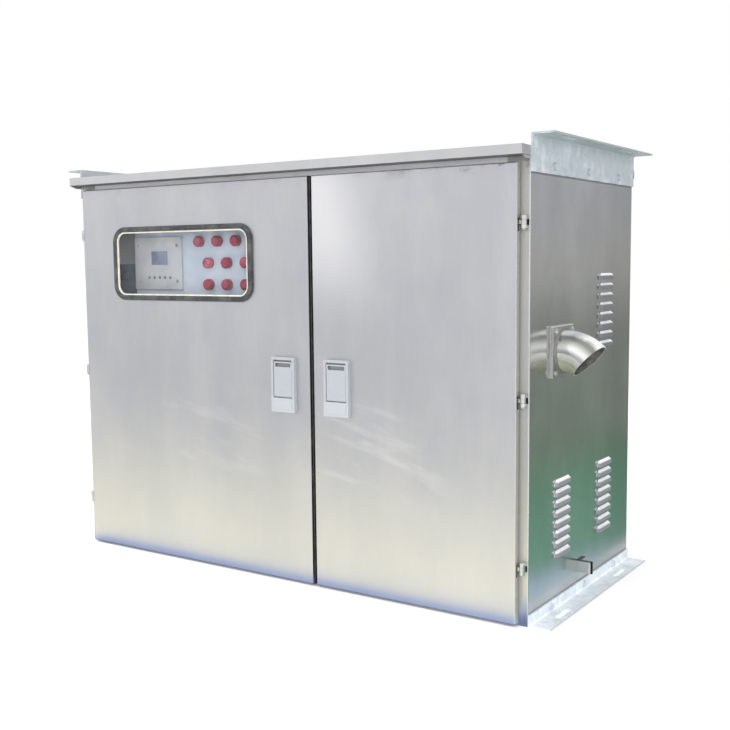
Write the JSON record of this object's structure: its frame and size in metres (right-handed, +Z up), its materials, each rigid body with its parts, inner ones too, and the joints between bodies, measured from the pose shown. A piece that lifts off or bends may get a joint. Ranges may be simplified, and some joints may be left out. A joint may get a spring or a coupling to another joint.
{
  "type": "low-voltage switchgear cabinet",
  "caption": "Outdoor stainless low-voltage switchgear cabinet with unequal hinged doors, viewing window, louvred sides, cable elbow and slotted hanger and base angles.",
  "frame": {"origin": "middle of the cabinet floor, on the floor plane", "axes": "+X to the right seen from the front, +Y from the doors to the back, +Z up; metres"},
  "size_m": [1.7796, 0.784, 1.234],
  "materials": {
    "stainless_sheet": "brushed stainless sheet, soft sheen",
    "galvanised_steel": "hot-dip galvanised, pale blue-grey",
    "bright_fittings": "bright plated",
    "lock_casting": "silver-white satin",
    "black_rubber": "black weathered rubber",
    "pale_filler": "aged cream filler strip",
    "window_glass": "clear sheet glass",
    "instrument_paint": "pale blue satin paint",
    "controller_case": "light grey moulding",
    "red_lamp": "translucent red cap",
    "dark_moulding": "dark blue-black moulding"
  },
  "bodies": {
    "cabinet": {"left_side_panel": "stainless_sheet", "right_side_panel": "stainless_sheet", "back_panel": "stainless_sheet", "floor_panel": "stainless_sheet", "roof_cap": "stainless_sheet", "left_front_stile": "stainless_sheet", "right_front_stile": "stainless_sheet", "front_header": "stainless_sheet", "front_sill": "stainless_sheet", "centre_post": "stainless_sheet", "centre_seal": "black_rubber", "left_hanger_angle": "galvanised_steel", "right_hanger_angle": "galvanised_steel", "left_base_angle": "galvanised_steel", "right_base_angle": "galvanised_steel", "left_angle_bolts": "bright_fittings", "right_angle_bolts": "bright_fittings", "elbow_gasket": "pale_filler", "elbow_flange_plate": "stainless_sheet", "elbow_pipe": "stainless_sheet", "elbow_bolts": "bright_fittings", "earth_terminal": "stainless_sheet", "left_hinge_frame_leaves": "bright_fittings", "right_hinge_frame_leaves": "bright_fittings", "panel_uprights": "galvanised_steel", "instrument_panel": "instrument_paint", "controller": "controller_case", "indicator_lamps": "red_lamp", "switch_block": "dark_moulding"},
    "left_door": {"left_door_panel": "stainless_sheet", "meeting_seal": "black_rubber", "window_gasket": "black_rubber", "window_filler": "pale_filler", "window_glass": "window_glass", "left_handle_housing": "lock_casting", "left_hinge_door_leaves": "bright_fittings"},
    "right_door": {"right_door_panel": "stainless_sheet", "right_handle_housing": "lock_casting", "right_hinge_door_leaves": "bright_fittings"},
    "left_lever": {"left_handle_lever": "lock_casting"},
    "right_lever": {"right_handle_lever": "lock_casting"}
  },
  "joints": [
    {"name": "left_door_hinge", "type": "hinge", "parent": "cabinet", "child": "left_door", "pos_m": [-0.787, -0.367, 0.579], "axis": [0, 0, -1], "range_deg": [0, 115]},
    {"name": "right_door_hinge", "type": "hinge", "parent": "cabinet", "child": "right_door", "pos_m": [0.787, -0.367, 0.579], "axis": [0, 0, 1], "range_deg": [0, 115]},
    {"name": "left_lever_hinge", "type": "hinge", "parent": "left_door", "child": "left_lever", "pos_m": [0.0485, -0.3855, 0.5455], "axis": [1, 0, 0], "range_deg": [0, 40]},
    {"name": "right_lever_hinge", "type": "hinge", "parent": "right_door", "child": "right_lever", "pos_m": [0.2345, -0.3855, 0.5455], "axis": [1, 0, 0], "range_deg": [0, 40]}
  ]
}
